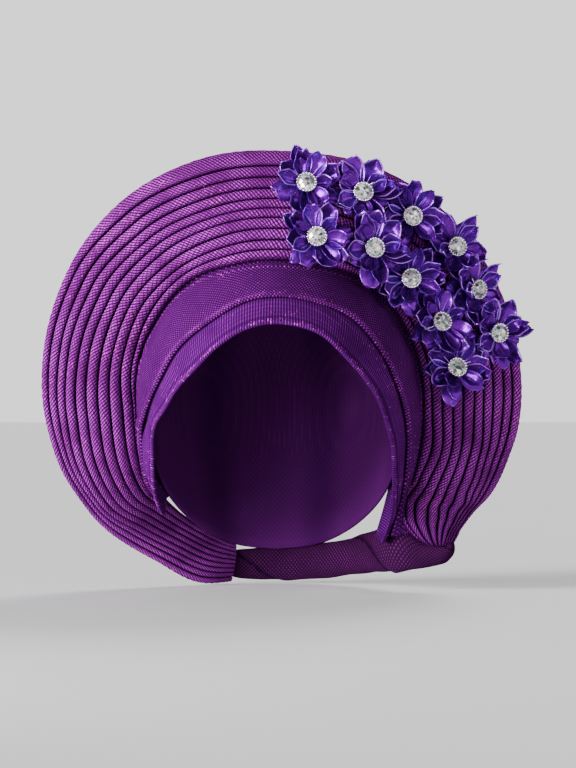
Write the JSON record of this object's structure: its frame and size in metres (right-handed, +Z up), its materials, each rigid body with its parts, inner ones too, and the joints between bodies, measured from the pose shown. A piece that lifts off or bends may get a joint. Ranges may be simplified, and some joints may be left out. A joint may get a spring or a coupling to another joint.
{
  "type": "gele head tie",
  "caption": "Tied head wrap with forehead bands, a wide pleated fan gathered at one side, a rolled nape tail and ribbon flowers with cut stones.",
  "frame": {"origin": "inside of the crown, on the head's midline, where the head tie sits on the head", "axes": "+X to the wearer's left, where the fan is gathered; -Y the way the face looks; +Z up"},
  "size_m": [0.2989, 0.1871, 0.2716],
  "materials": {
    "cloth": "woven gele cloth with a soft sheen",
    "satin": "satin ribbon",
    "silver": "polished",
    "crystal": "faceted, foiled behind"
  },
  "bodies": {
    "root": {"pleated_fan": "cloth", "brow_band": "cloth", "cross_band": "cloth", "crown_cap": "cloth", "nape_roll": "cloth", "flower_01": "satin", "flower_02": "satin", "flower_03": "satin", "flower_04": "satin", "flower_05": "satin", "flower_06": "satin", "flower_07": "satin", "flower_08": "satin", "flower_09": "satin", "flower_10": "satin", "flower_11": "satin", "setting_01": "silver", "setting_02": "silver", "setting_03": "silver", "setting_04": "silver", "setting_05": "silver", "setting_06": "silver", "setting_07": "silver", "setting_08": "silver", "setting_09": "silver", "setting_10": "silver", "setting_11": "silver", "stone_01": "crystal", "stone_02": "crystal", "stone_03": "crystal", "stone_04": "crystal", "stone_05": "crystal", "stone_06": "crystal", "stone_07": "crystal", "stone_08": "crystal", "stone_09": "crystal", "stone_10": "crystal", "stone_11": "crystal"}
  },
  "joints": []
}
